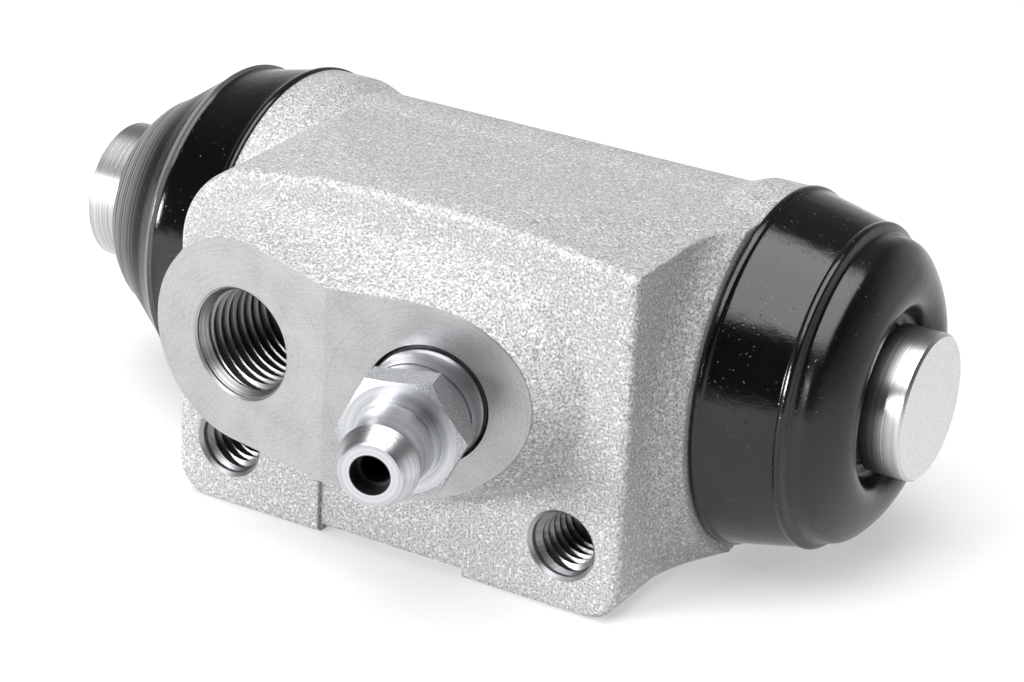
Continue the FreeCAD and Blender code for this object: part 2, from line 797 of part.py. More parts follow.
def bleed_screw():
    """The screw: a cone on its seat, a threaded shank, a hexagon and a nipple for a hose."""
    body = doc.addObject("PartDesign::Body", "bleed_screw")
    body.Label = "bleed_screw"
    lean = s.bleed_lean - 90
    body.Placement = FreeCAD.Placement(
        FreeCAD.Vector(s.bleed_x.number, -s.bleed_rise.number, (s.bore_height + s.bleed_height).number),
        FreeCAD.Rotation(FreeCAD.Vector(0, 0, 1), lean.number))
    bind(body, "Placement.Base.x", s.bleed_x)
    bind(body, "Placement.Base.y", -s.bleed_rise)
    bind(body, "Placement.Base.z", s.bore_height + s.bleed_height)
    bind(body, "Placement.Rotation.Angle", lean)

    shank = s.bleed_thread_radius - s.screw_clearance
    cone_foot = s.bleed_thread_depth + s.bleed_thread_radius - s.screw_seat_clearance
    corner = s.hex_across_flats / math.sqrt(3)
    bevel = (corner - s.hex_face_radius) * 0.5
    sketch = new_sketch(body, "screw_outline")
    outline(sketch, [
        (s.screw_point_radius - cone_foot, 0),
        (s.screw_point_radius - cone_foot, s.screw_point_radius),
        (s.screw_neck_radius - cone_foot, s.screw_neck_radius),
        (-s.screw_thread_end, s.screw_neck_radius),
        (-s.screw_thread_end, shank),
        (s.screw_groove_start, shank),
        (s.screw_groove_start, s.screw_groove_radius),
        (s.screw_groove_end, s.screw_groove_radius),
        (s.screw_groove_end, shank),
        (s.hex_start, shank),
        (s.hex_start, corner),
        (s.hex_end - bevel, corner),
        (s.hex_end, s.hex_face_radius),
        (s.hex_end, s.nipple_step_radius),
        (s.nipple_step_end, s.nipple_step_radius),
        (s.nipple_step_end, s.nipple_cone_radius),
        (s.nipple_neck, s.nipple_neck_radius),
        (s.nipple_bulb, s.nipple_bulb_radius),
        (s.nipple_end - s.nipple_edge, s.nipple_end_radius + s.nipple_edge),
        (s.nipple_end, s.nipple_end_radius),
        (s.nipple_end, 0),
    ])
    revolve(body, sketch, "screw_turned")

    flats = new_sketch(body, "hex_outline", "YZ_Plane", (0, 0, s.hex_start), s.hex_turn)
    ring = flats.addGeometry(Part.Circle(FreeCAD.Vector(), FreeCAD.Vector(0, 0, 1),
                                         corner.number * 2), False)
    flats.addConstraint(Sketcher.Constraint("Coincident", ring, 3, -1, 1))
    place = flats.addConstraint(Sketcher.Constraint("Radius", ring, corner.number * 2))
    bind(flats, "Constraints[%d]" % place, corner * 2)
    turns = [math.radians(60 * step) for step in range(6)]
    outline(flats, [(corner * math.cos(turn), corner * math.sin(turn)) for turn in turns])
    cut_through(body, flats, "hexagon", s.hex_end - s.hex_start, reverse=True)

    bore = new_sketch(body, "screw_bore_outline")
    outline(bore, [
        (s.nipple_end + 1, 0),
        (s.nipple_end + 1, s.screw_mouth_radius),
        (s.nipple_end - s.screw_mouth_depth, s.screw_mouth_radius),
        (s.nipple_end - s.screw_mouth_depth, s.screw_bore_radius),
        (-s.screw_bore_end, s.screw_bore_radius),
        (-s.screw_bore_end - s.screw_bore_radius, 0),
    ])
    revolve(body, bore, "screw_bore", cut=True)

    cross = new_sketch(body, "cross_hole_outline")
    hole = cross.addGeometry(Part.Circle(FreeCAD.Vector(-s.cross_hole_depth.number, 0, 0),
                                         FreeCAD.Vector(0, 0, 1), s.cross_hole_radius.number), False)
    pin_point(cross, hole, 3, (-s.cross_hole_depth, 0))
    place = cross.addConstraint(Sketcher.Constraint("Radius", hole, s.cross_hole_radius.number))
    bind(cross, "Constraints[%d]" % place, s.cross_hole_radius)
    cut_through(body, cross, "cross_hole")


bleed_screw()

doc.recompute()

failed = [thing.Label for thing in doc.Objects if {"Invalid", "Error"} & set(thing.State)]
if failed:
    raise RuntimeError("these objects failed: %s" % ", ".join(failed))

os.makedirs("parts", exist_ok=True)
for body in [thing for thing in doc.Objects if thing.TypeId == "PartDesign::Body"]:
    shape = body.Shape
    if shape.isNull() or not shape.isValid():
        raise RuntimeError(body.Label + " is not a valid solid")
    print("%-18s %9.2f mm3 %3d faces %d solid" % (
        body.Label, shape.Volume, len(shape.Faces), len(shape.Solids)))
for body in [thing for thing in doc.Objects if thing.TypeId == "PartDesign::Body"]:
    body.Shape.exportStep("parts/%s.step" % body.Label)
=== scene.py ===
# %% [markdown]
# # A drum brake's wheel cylinder
# The real object is a sand-cast aluminium housing with a bored hole through it, two turned
# pistons, two rubber dust boots and a turned bleed screw. The imported model gives every piece its
# place. This file gives each surface its finish, and makes what is too fine for the solids: the
# screw threads, the lead into the pipe port, the bleed screw's collar and the smooth skins of the
# rubber boots. It also makes the return spring in two halves.

# %% The frame
import math

import bmesh
import bpy
import numpy as np
from mathutils import Matrix, Vector


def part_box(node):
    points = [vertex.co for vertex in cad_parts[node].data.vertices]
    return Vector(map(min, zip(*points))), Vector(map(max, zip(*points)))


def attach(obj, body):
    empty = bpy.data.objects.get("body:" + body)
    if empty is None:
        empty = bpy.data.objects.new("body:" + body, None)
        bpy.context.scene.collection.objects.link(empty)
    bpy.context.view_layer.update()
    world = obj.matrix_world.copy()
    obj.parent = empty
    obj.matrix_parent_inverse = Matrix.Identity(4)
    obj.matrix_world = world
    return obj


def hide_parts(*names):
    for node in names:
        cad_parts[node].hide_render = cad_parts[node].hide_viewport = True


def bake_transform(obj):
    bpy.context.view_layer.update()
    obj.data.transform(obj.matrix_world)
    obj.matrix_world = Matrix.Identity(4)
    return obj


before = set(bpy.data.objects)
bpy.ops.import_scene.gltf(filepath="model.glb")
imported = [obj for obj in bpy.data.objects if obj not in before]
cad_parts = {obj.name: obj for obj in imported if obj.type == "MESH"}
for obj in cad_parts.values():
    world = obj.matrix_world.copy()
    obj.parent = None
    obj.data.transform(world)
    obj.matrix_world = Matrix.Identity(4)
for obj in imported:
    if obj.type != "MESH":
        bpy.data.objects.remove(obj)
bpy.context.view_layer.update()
MM = 0.001
print("nodes:", sorted(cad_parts))

# %% [markdown]
# ## Places
# Sizes are in millimetres, with the origin between the two fixing holes on the mounting face. The
# two threaded holes in the boss lean apart, and each has a pad machined square to it, so a hole is
# kept as the middle of its mouth and the direction out of it.

# %% Named places
BORE_Y = 23.5
BORE_Z = 10.3
BORE_POINT = (0, BORE_Y, BORE_Z)
FOOT_Z = -6.3
PORT_LEAN = math.radians(5.7)
BLEED_LEAN = math.radians(13.0)
PORT_MOUTH = np.array([-11.94, -6.1, 13.3])
PORT_OUT = np.array([-math.sin(PORT_LEAN), -math.cos(PORT_LEAN), 0.0])
BLEED_MOUTH = np.array([6.14, -4.94, 12.1])
BLEED_OUT = np.array([math.sin(BLEED_LEAN), -math.cos(BLEED_LEAN), 0.0])
FIXING_X = 17.1
FIXING_OUT = (0, -1, 0)
HEX_START = 4.2
HEX_END = 7.1
print("pipe port leans", round(math.degrees(PORT_LEAN), 1), "degrees")

# %% [markdown]
# ## Materials
# One small function adds a node with its settings and links. Colours are written as sRGB hex
# values and turned to linear light. Every pattern is worked out on Object coordinates, which are
# metres here, so a pattern's scale is one over the size of its grain in metres.

# %% Colour and node helpers
def linear(hex_colour):
    """sRGB hex to linear red, green, blue and alpha: the sRGB curve undone channel by channel."""
    channels = [int(hex_colour[place:place + 2], 16) / 255 for place in (1, 3, 5)]
    return [c / 12.92 if c <= 0.04045 else ((c + 0.055) / 1.055) ** 2.4 for c in channels] + [1.0]


def add(tree, kind, settings=None, **inputs):
    """Adds a node. settings are its properties; an input is a value or another node's socket."""
    node = tree.nodes.new(kind)
    for name, value in (settings or {}).items():
        setattr(node, name, value)
    for name, value in inputs.items():
        key = int(name[1:]) if name[0] == "i" and name[1:].isdigit() else name.replace("_", " ")
        socket = node.inputs[key]
        if isinstance(value, bpy.types.NodeSocket):
            tree.links.new(value, socket)
        else:
            socket.default_value = value
    return node


def new_material(name):
    """An empty material with its output, a Principled shader and the Object coordinates."""
    material = bpy.data.materials.new(name)
    material.use_nodes = True
    tree = material.node_tree
    tree.nodes.clear()
    shader = add(tree, "ShaderNodeBsdfPrincipled")
    output = add(tree, "ShaderNodeOutputMaterial")
    tree.links.new(shader.outputs[0], output.inputs[0])
    place = add(tree, "ShaderNodeTexCoord").outputs["Object"]
    return material, tree, shader, place


def calculate(tree, operation, first, second=0.0):
    """One arithmetic step."""
    return add(tree, "ShaderNodeMath", {"operation": operation}, i0=first, i1=second).outputs[0]


def product(tree, first, *others):
    """Values multiplied together."""
    for other in others:
        first = calculate(tree, "MULTIPLY", first, other)
    return first


def weighted(tree, *layers):
    """The sum of layers, each a pair of a value and its share."""
    parts = [calculate(tree, "MULTIPLY", value, share) for value, share in layers]
    whole = parts[0]
    for part in parts[1:]:
        whole = calculate(tree, "ADD", whole, part)
    return whole


def mixed_colour(tree, share, first, second):
    """Two colours mixed by a share from 0 to 1. A colour is a socket or an sRGB hex value."""
    first, second = [linear(colour) if isinstance(colour, str) else colour for colour in (first, second)]
    mix = add(tree, "ShaderNodeMix", {"data_type": "RGBA"}, Factor=share, i6=first, i7=second)
    return mix.outputs[2]


def mixed_value(tree, share, first, second):
    """Two numbers mixed by a share from 0 to 1."""
    mix = add(tree, "ShaderNodeMix", {"data_type": "FLOAT"}, Factor=share, i2=first, i3=second)
    return mix.outputs[0]


# %% Pattern and mask helpers
def grain(tree, place, grain_mm, detail=2.0, rough=0.5):
    """Noise whose grains are about grain_mm across, from 0 to 1."""
    return add(tree, "ShaderNodeTexNoise", None, Vector=place, Scale=1 / (grain_mm * MM),
               Detail=detail, Roughness=rough).outputs[0]


def ring_noise(tree, distance_mm, pitch_mm):
    """Uneven rings: noise that reads only a distance, so it is the same all the way round."""
    return add(tree, "ShaderNodeTexNoise", {"noise_dimensions": "1D"}, W=distance_mm,
               Scale=1 / pitch_mm, Detail=3.0, Roughness=0.6).outputs[0]


def cells(tree, place, cell_mm):
    """Random cells about cell_mm across: the node, and three random numbers for each cell."""
    node = add(tree, "ShaderNodeTexVoronoi", None, Vector=place, Scale=1 / (cell_mm * MM))
    return node, add(tree, "ShaderNodeSeparateColor", None, Color=node.outputs["Color"]).outputs


def rising(tree, value, off, on):
    """0 up to one value, 1 from the other on, and a straight slope between."""
    return add(tree, "ShaderNodeMapRange", {"clamp": True}, Value=value, i1=off, i2=on).outputs[0]


def opposite(tree, mask):
    """1 where a mask is 0."""
    return calculate(tree, "SUBTRACT", 1.0, mask)


def band(tree, value, start, full, fading, end):
    """0 up to start, 1 from full to fading, and 0 again from end on."""
    return product(tree, rising(tree, value, start, full), opposite(tree, rising(tree, value, fading, end)))


def above(tree, value, limit):
    """1 where a value is over a limit."""
    return calculate(tree, "GREATER_THAN", value, limit)


def below(tree, value, limit):
    """1 where a value is under a limit."""
    return calculate(tree, "LESS_THAN", value, limit)


def either(tree, *masks):
    """1 where any of the masks is 1."""
    whole = masks[0]
    for mask in masks[1:]:
        whole = calculate(tree, "MAXIMUM", whole, mask)
    return whole


def off_axis(tree, place, point_mm, direction):
    """How far a place is along a line, and out from it, both in millimetres."""
    point = [float(value) * MM for value in point_mm]
    way = [float(value) for value in direction]
    arm = add(tree, "ShaderNodeVectorMath", {"operation": "SUBTRACT"}, i0=place, i1=point).outputs[0]
    dot = add(tree, "ShaderNodeVectorMath", {"operation": "DOT_PRODUCT"}, i0=arm, i1=way)
    cross = add(tree, "ShaderNodeVectorMath", {"operation": "CROSS_PRODUCT"}, i0=arm, i1=way).outputs[0]
    out = add(tree, "ShaderNodeVectorMath", {"operation": "LENGTH"}, i0=cross)
    return [product(tree, node.outputs["Value"], 1 / MM) for node in (dot, out)]


def finish_shader(tree, shader, colour, rough, height, depth_mm, normal=None):
    """Links a colour, a roughness and a height, whose full range stands depth_mm proud."""
    tree.links.new(colour, shader.inputs["Base Color"])
    tree.links.new(rough, shader.inputs["Roughness"])
    bump = add(tree, "ShaderNodeBump", None, Height=height, Strength=1.0, Distance=depth_mm * MM)
    if normal is not None:
        tree.links.new(normal, bump.inputs["Normal"])
    tree.links.new(bump.outputs[0], shader.inputs["Normal"])


# %% [markdown]
# Sand-cast aluminium that has been shot-blasted is a crust of tiny dents, about 0.2 mm across, with
# bright facets between them, so it glitters under a softbox; random facets get painted glints, a
# near-white colour, and a lower roughness. The pads are cut by a milling tool and are smooth, with
# faint arcs round each hole and fainter ones across them from a wider sweep of the tool. The walls
# of the holes are cut too, and bare, and painted darker from a little way in from the mouth, as
# painted shade. One material does all three: a place is machined where it lies on a pad's plane or
# within a hole's radius. The casting's edges are soft, which a Bevel node adds to the shading.

# %% Cast housing
DENT_MM = 0.21
FACET_MM = 0.22
FINE_MM = 0.12
CRUST_MM = 0.22
EDGE_MM = 0.5
ARC_MM = 0.16
SWEEP_MM = 0.19
CLOUD_MM = 3.0
PAD_SKIN = 0.06
PAD_SURE = 0.02
PORT_WALL = 5.25
BLEED_WALL = 5.6
FIXING_WALL = 3.32
HOLE_REACH = 14.0
PAINTED_SHADE_DEPTH = 1.4
SWEEP_POINT = (3.0, 0.0, -9.0)
LUG_SIDE = 10.8
LUG_TOP_SLOPE = 0.5
LUG_TOP_DROP = 5.5
LUG_FRONT = 4.0
LUG_STEP = (3.4, 3.9)


def raised_lug(tree, place):
    """1 on the right lug and 0 beside it: its face stands a little proud, with a round corner.

    The corner's middle is where LUG_SIDE crosses a line that climbs by LUG_TOP_SLOPE, and LUG_STEP
    holds the two radii between which the step falls.
    """
    parts = add(tree, "ShaderNodeSeparateXYZ", None, Vector=place).outputs
    beside = calculate(tree, "SUBTRACT", LUG_SIDE * MM, parts["X"])
    top = calculate(tree, "SUBTRACT", product(tree, parts["X"], LUG_TOP_SLOPE), LUG_TOP_DROP * MM)
    over = calculate(tree, "SUBTRACT", parts["Z"], top)
    gaps = [calculate(tree, "MAXIMUM", gap, 0.0) for gap in (beside, over)]
    squares = [calculate(tree, "POWER", gap, 2.0) for gap in gaps]
    distance = calculate(tree, "SQRT", calculate(tree, "ADD", *squares))
    step = rising(tree, distance, LUG_STEP[0] * MM, LUG_STEP[1] * MM)
    return product(tree, opposite(tree, step), below(tree, parts["Y"], LUG_FRONT * MM))


def milled_marks(tree, place, arc_distance):
    """Arcs round a hole, arcs of a wider sweep, a fine smear and a slow cloud."""
    _, sweep_distance = off_axis(tree, place, SWEEP_POINT, PORT_OUT)
    arcs = ring_noise(tree, arc_distance, ARC_MM)
    sweep = ring_noise(tree, sweep_distance, SWEEP_MM)
    smear = grain(tree, place, FINE_MM, rough=0.7)
    cloud = grain(tree, place, CLOUD_MM)
    return weighted(tree, (arcs, 0.22), (sweep, 0.12), (smear, 0.50), (cloud, 0.22))


def cast_aluminium():
    """Grey blasted grain with painted glints, milled pads, and walls in the holes with painted shade."""
    material, tree, shader, place = new_material("shot_blasted_cast_aluminium")
    port_along, port_away = off_axis(tree, place, PORT_MOUTH, PORT_OUT)
    bleed_along, bleed_away = off_axis(tree, place, BLEED_MOUTH, BLEED_OUT)
    port_pad = rising(tree, port_along, -PAD_SKIN, -PAD_SURE)
    pad = either(tree, port_pad, rising(tree, bleed_along, -PAD_SKIN, -PAD_SURE))
    holes = [(port_along, port_away, PORT_WALL), (bleed_along, bleed_away, BLEED_WALL)]
    for side in (1, -1):
        holes.append((*off_axis(tree, place, (side * FIXING_X, 0, 0), FIXING_OUT), FIXING_WALL))
    walls = []
    # Painted shade: a hole's wall is coloured darker from 1.4 mm in from its mouth.
    walls_before_painted_shade = []
    for along, away, radius in holes:
        wall = product(tree, below(tree, away, radius), above(tree, along, -HOLE_REACH))
        walls.append(wall)
        walls_before_painted_shade.append(product(tree, wall, above(tree, along, -PAINTED_SHADE_DEPTH)))
    machined = either(tree, pad, *walls)
    inside = calculate(tree, "SUBTRACT", machined, pad)

    dents = grain(tree, place, DENT_MM, detail=3.0, rough=0.7)
    _, chances = cells(tree, place, FACET_MM)
    facet = chances[0]
    # Painted glints: random facets get a near-white colour and a lower roughness.
    painted_glint = rising(tree, facet, 0.86, 0.94)
    tone = mixed_colour(tree, rising(tree, dents, 0.38, 0.60), "#909090", "#dcdcdc")
    tone = mixed_colour(tree, product(tree, painted_glint, 0.7), tone, "#f6f6f6")
    marks = milled_marks(tree, place, mixed_value(tree, port_pad, bleed_away, port_away))
    milled = mixed_colour(tree, rising(tree, marks, 0.40, 0.60), "#959596", "#b0b0b1")
    # The darker colour deep in a hole is painted shade.
    hole_wall_painted_shade = mixed_colour(tree, either(tree, *walls_before_painted_shade), "#6d6d6f", "#a6a6a8")
    colour = mixed_colour(tree, machined, tone, mixed_colour(tree, inside, milled, hole_wall_painted_shade))
    cast_rough = calculate(tree, "SUBTRACT", 0.50, product(tree, painted_glint, 0.2))
    rough = mixed_value(tree, machined, cast_rough, 0.36)
    tree.links.new(mixed_value(tree, machined, 0.7, 0.9), shader.inputs["Metallic"])

    fine = grain(tree, place, FINE_MM, rough=0.6)
    lug = raised_lug(tree, place)
    crust = weighted(tree, (dents, 1.0), (fine, 0.35), (facet, 0.12), (lug, 1.2))
    cut = product(tree, marks, 0.05)
    height = weighted(tree, (crust, opposite(tree, machined)), (cut, machined))
    soft = add(tree, "ShaderNodeBevel", {"samples": 4}, Radius=EDGE_MM * MM).outputs[0]
    plain = add(tree, "ShaderNodeNewGeometry").outputs["Normal"]
    edge = add(tree, "ShaderNodeMix", {"data_type": "VECTOR"}, Factor=machined, i4=soft, i5=plain)
    finish_shader(tree, shader, colour, rough, height, CRUST_MM, edge.outputs[1])
    return material


# %% [markdown]
# Turned metal is bright, with fine rings left by the tool. A ring pattern that reads the distance
# along the axis plus the distance from it shows on a cylinder, on a flat end and on a cone alike. A
# piston's end is faced off and looks matt. The screw's hexagon is drawn bar, with a duller skin, and
# the hole through its nipple is coloured dark, as painted shade.

# %% Turned metals
SHANK_RADIUS = 4.93
NIPPLE_HOLE = 1.78
HEX_MARGIN = 0.03
FLAT_ENOUGH = 0.95
BROAD_RINGS = 6


def turned_metal(name, point_mm, direction, light, dark, rough, ring_mm, groove_mm=0.012,
                 faced=False, hexagon=False):
    """Bright metal with rings square to an axis; matt flat ends where faced, dull hexagon flats, and painted
    shade in the nipple's hole.
    """
    material, tree, shader, place = new_material(name)
    along, away = off_axis(tree, place, point_mm, direction)
    travel = calculate(tree, "ADD", along, away)
    fine = ring_noise(tree, travel, ring_mm)
    broad = ring_noise(tree, travel, ring_mm * BROAD_RINGS)
    marks = weighted(tree, (fine, 0.6), (broad, 0.4))
    colour = mixed_colour(tree, rising(tree, marks, 0.38, 0.62), dark, light)
    roughness = mixed_value(tree, rising(tree, marks, 0.3, 0.7), rough + 0.06, rough - 0.05)
    height = marks
    if faced:
        normal = add(tree, "ShaderNodeNewGeometry").outputs["True Normal"]
        way = [float(value) for value in direction]
        facing = add(tree, "ShaderNodeVectorMath", {"operation": "DOT_PRODUCT"}, i0=normal, i1=way)
        flat = above(tree, calculate(tree, "ABSOLUTE", facing.outputs["Value"]), FLAT_ENOUGH)
        matt = grain(tree, place, 0.14, detail=3.0, rough=0.7)
        face = weighted(tree, (matt, 0.85), (fine, 0.15))
        end_colour = mixed_colour(tree, rising(tree, face, 0.4, 0.6), "#d6d6d7", "#ececec")
        colour = mixed_colour(tree, flat, colour, end_colour)
        roughness = mixed_value(tree, flat, roughness, 0.58)
        height = mixed_value(tree, flat, marks, product(tree, matt, 0.5))
    if hexagon:
        after_start = above(tree, along, HEX_START + HEX_MARGIN)
        before_end = below(tree, along, HEX_END - HEX_MARGIN)
        drawn = product(tree, above(tree, away, SHANK_RADIUS), product(tree, after_start, before_end))
        skin = grain(tree, place, 0.11, rough=0.7)
        skin_colour = mixed_colour(tree, rising(tree, skin, 0.35, 0.65), "#808285", "#d0d2d5")
        colour = mixed_colour(tree, drawn, colour, skin_colour)
        roughness = mixed_value(tree, drawn, roughness, 0.38)
        height = mixed_value(tree, drawn, marks, product(tree, skin, 1.4))
        # Painted shade: the hole through the nipple is coloured dark.
        drilled_painted_shade = below(tree, away, NIPPLE_HOLE)
        colour = mixed_colour(tree, drilled_painted_shade, colour, "#4c4d50")
        roughness = mixed_value(tree, drilled_painted_shade, roughness, 0.5)
    shader.inputs["Metallic"].default_value = 1.0
    finish_shader(tree, shader, colour, roughness, height, groove_mm)
    return material


# %% [markdown]
# The boots are moulded rubber: black, wet-looking where the mould was polished, with pimples and a
# faint orange peel that break up the edge of a reflection, and pale dust lying in clusters. Where
# the left boot is stretched over its piston the skin loses its shine and shows rings, and pale rings
# on the bead and towards the lip are painted highlights. The right boot's rolled shoulder is less polished.

# %% Rubber
PEEL_MM = 0.18
SWELL_MM = 3.0
CLUSTER_MM = 5.0
SPECK_MM = 0.5
RING_MM = 0.3
PIMPLE_MM = 0.14
STRETCH = (32.6, 34.5)
BEAD_HIGHLIGHT = (31.9, 32.15, 32.4, 32.6)
LIP_HIGHLIGHT = (35.5, 38.8, 40.4, 41.3)
SHOULDER = (33.0, 33.6)


def moulded_rubber(name, base, rough, is_boot):
    """Black rubber with a faint orange peel; a boot has pimples, dust, a stretched part and painted
    highlights.
    """
    material, tree, shader, place = new_material(name)
    peel = grain(tree, place, PEEL_MM, detail=3.0, rough=0.6)
    swell = grain(tree, place, SWELL_MM)
    colour = mixed_colour(tree, swell, base, "#070708")
    roughness = mixed_value(tree, peel, rough - 0.03, rough + 0.05)
    height = weighted(tree, (swell, 0.4), (peel, 0.07))
    if is_boot:
        cluster = rising(tree, grain(tree, place, CLUSTER_MM), 0.45, 0.62)
        cell, chances = cells(tree, place, SPECK_MM)
        distance = cell.outputs["Distance"]
        near = opposite(tree, rising(tree, distance, 0.05, 0.22))
        pimple = product(tree, near, above(tree, chances[0], 0.55))
        speck = product(tree, below(tree, distance, 0.13), above(tree, chances[1], 0.72), cluster)
        colour = mixed_colour(tree, product(tree, speck, 0.5), colour, "#8a8a88")

        along, _ = off_axis(tree, place, BORE_POINT, (-1, 0, 0))
        stretched = rising(tree, along, *STRETCH)
        rings = ring_noise(tree, along, RING_MM)
        ridges = product(tree, rings, stretched)
        height = weighted(tree, (height, 1.0), (pimple, 0.12), (ridges, 0.04))
        # Painted highlights: pale rings on the bead and towards the lip of the stretched boot.
        painted_highlight_bands = either(tree, band(tree, along, *LIP_HIGHLIGHT), band(tree, along, *BEAD_HIGHLIGHT))
        pale = product(tree, painted_highlight_bands, rising(tree, rings, 0.30, 0.62))
        colour = mixed_colour(tree, pale, colour, "#7a7a7c")
        shoulder = rising(tree, along, -SHOULDER[0], -SHOULDER[1])
        roughness = mixed_value(tree, shoulder, roughness, 0.22)
        roughness = mixed_value(tree, stretched, roughness, 0.25)
        tree.links.new(mixed_value(tree, stretched, 0.5, 0.03), shader.inputs["Specular IOR Level"])
    finish_shader(tree, shader, colour, roughness, height, PIMPLE_MM)
    return material


# %% The materials
BORE_WAY = (1, 0, 0)
cast = cast_aluminium()
piston_metal = turned_metal("turned_piston_aluminium", BORE_POINT, BORE_WAY, "#cececf", "#9c9ca0",
                            rough=0.30, ring_mm=0.2, groove_mm=0.016, faced=True)
screw_metal = turned_metal("turned_screw_steel", BLEED_MOUTH, BLEED_OUT, "#c8c9cc", "#a6a8ac",
                           rough=0.32, ring_mm=0.2, groove_mm=0.02, hexagon=True)
spring_metal = turned_metal("drawn_spring_steel", BORE_POINT, BORE_WAY, "#8f8f92", "#6a6a6e",
                            rough=0.35, ring_mm=0.5)
seat_metal = turned_metal("pressed_steel", BORE_POINT, BORE_WAY, "#b4b4b6", "#98989b",
                          rough=0.35, ring_mm=0.5)
# The tapped threads are coloured darker than the other aluminium: painted shade for the inside of the holes.
thread_metal_painted_shade = turned_metal("tapped_aluminium_painted_shade", PORT_MOUTH, PORT_OUT, "#8c8c8e", "#6c6c6f",
                            rough=0.34, ring_mm=0.3)
lead_metal = turned_metal("bored_aluminium", PORT_MOUTH, PORT_OUT, "#bebec0", "#98989b",
                          rough=0.40, ring_mm=0.3)
boot_rubber = moulded_rubber("glossy_boot_rubber", "#050505", rough=0.13, is_boot=True)
cup_rubber = moulded_rubber("cup_seal_rubber", "#101012", rough=0.35, is_boot=False)

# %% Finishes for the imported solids
finishes = {"housing": cast, "bleed_screw": screw_metal, "return_spring": spring_metal}
for side in ("right", "left"):
    finishes["piston_" + side] = piston_metal
    finishes["cup_seal_" + side] = cup_rubber
    finishes["spring_seat_" + side] = seat_metal
    finishes["dust_boot_" + side] = boot_rubber
for name, material in finishes.items():
    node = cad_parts[name]
    node.data.materials.clear()
    node.data.materials.append(material)

# %% [markdown]
# ## Grids into meshes
# Each new piece is a surface of two parameters, worked out on a grid of points and closed where it
# meets itself. The grid becomes quads, and the loose ends of a sweep get caps.

# %% Mesh from a grid
ROUND_STEPS = 192
STEPS_PER_TURN = 72


def grid_piece(name, points, wrap_rows, wrap_columns, material):
    """A piece of quads from an array of points of shape rows, columns, 3 in millimetres."""
    rows, columns, _ = points.shape
    index = np.arange(rows * columns).reshape(rows, columns)
    lower = np.roll(index, -1, 0) if wrap_rows else index[1:]
    upper = index if wrap_rows else index[:-1]
    if wrap_columns:
        quads = np.stack([upper, np.roll(upper, -1, 1), np.roll(lower, -1, 1), lower], -1)
    else:
        quads = np.stack([upper[:, :-1], upper[:, 1:], lower[:, 1:], lower[:, :-1]], -1)
    faces = quads.reshape(-1, 4).tolist()
    if wrap_columns and not wrap_rows:
        faces.append(index[0][::-1].tolist())
        faces.append(index[-1].tolist())
    mesh = bpy.data.meshes.new(name)
    mesh.from_pydata((points.reshape(-1, 3) * MM).tolist(), [], faces)
    work = bmesh.new()
    work.from_mesh(mesh)
    bmesh.ops.recalc_face_normals(work, faces=work.faces)
    work.to_mesh(mesh)
    work.free()
    mesh.shade_smooth()
    mesh.materials.append(material)
    piece = bpy.data.objects.new(name, mesh)
    bpy.context.scene.collection.objects.link(piece)
    return piece


def turned_piece(name, outline, point, direction, material):
    """Carries a closed outline of (along, radius) pairs round an axis through a point.

    A point of the outline at angle a is point + along * direction + radius * (cos a * u + sin a * w).
    """
    direction = np.array(direction, float)
    up = np.array([0.0, 0.0, 1.0])
    across = np.cross(direction, up)
    angle = np.linspace(0, 2 * math.pi, ROUND_STEPS, endpoint=False)
    spoke = np.cos(angle)[:, None] * across + np.sin(angle)[:, None] * up
    along = np.array(outline)[:, 0]
    radius = np.array(outline)[:, 1]
    centre = np.array(point, float) + along[None, :, None] * direction
    return grid_piece(name, centre + radius[None, :, None] * spoke[:, None, :], True, True, material)


def sharpen(piece, degrees):
    """Marks edges that turn by more than an angle as sharp, so that smooth shading stops there."""
    piece.data.set_sharp_from_angle(angle=math.radians(degrees))


# %% [markdown]
# ## Threads
# A thread is a ridge, its sides about 60 degrees apart, wound round an axis by a pitch each turn.
# It stands on the plain wall of the solid, so only the ridge is made: four corners of a low
# trapezium carried along a helix. At each end its height falls to nothing, as a tap leaves it. The
# pipe port also has the short cone that leads a tap in.

# %% Helical ridge and lead
PITCH = 1.0
PHASE = 0.5
ROOT_HALF = 0.42
CROWN_HALF = 0.07
ROOT_SINK = 0.12
RUN_OUT_TURNS = 0.35
LEAST_HEIGHT = 0.02


def thread(name, body, mouth, out, wall, crest, start, end):
    """A ridge from the wall radius in to the crest radius, wound between two depths from the mouth.

    The point at turn t is mouth - out * depth + radius * (cos a * u + sin a * w), with
    a = 2 pi (t + PHASE). The ridge's foot is sunk a little into the wall.
    """
    out = np.array(out, float)
    up = np.array([0.0, 0.0, 1.0])
    across = np.cross(out, up)
    turns = (end - start) / PITCH
    turn = np.linspace(0, turns, int(turns * STEPS_PER_TURN))
    fade = np.clip(np.minimum(turn, turns - turn) / RUN_OUT_TURNS, LEAST_HEIGHT, 1)
    foot = np.full(len(turn), wall + ROOT_SINK)
    crown = wall + (crest - wall) * fade
    corners = [(-ROOT_HALF, foot), (-CROWN_HALF, crown), (CROWN_HALF, crown), (ROOT_HALF, foot)]
    angle = 2 * math.pi * (turn + PHASE)
    spoke = np.cos(angle)[:, None] * across + np.sin(angle)[:, None] * up
    middle = mouth - out * (start + turn * PITCH)[:, None]
    rings = [middle + spoke * radius[:, None] - out * (along * PITCH) for along, radius in corners]
    piece = grid_piece(name, np.stack(rings, 1), False, True, thread_metal_painted_shade)
    sharpen(piece, degrees=30)
    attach(piece, body)


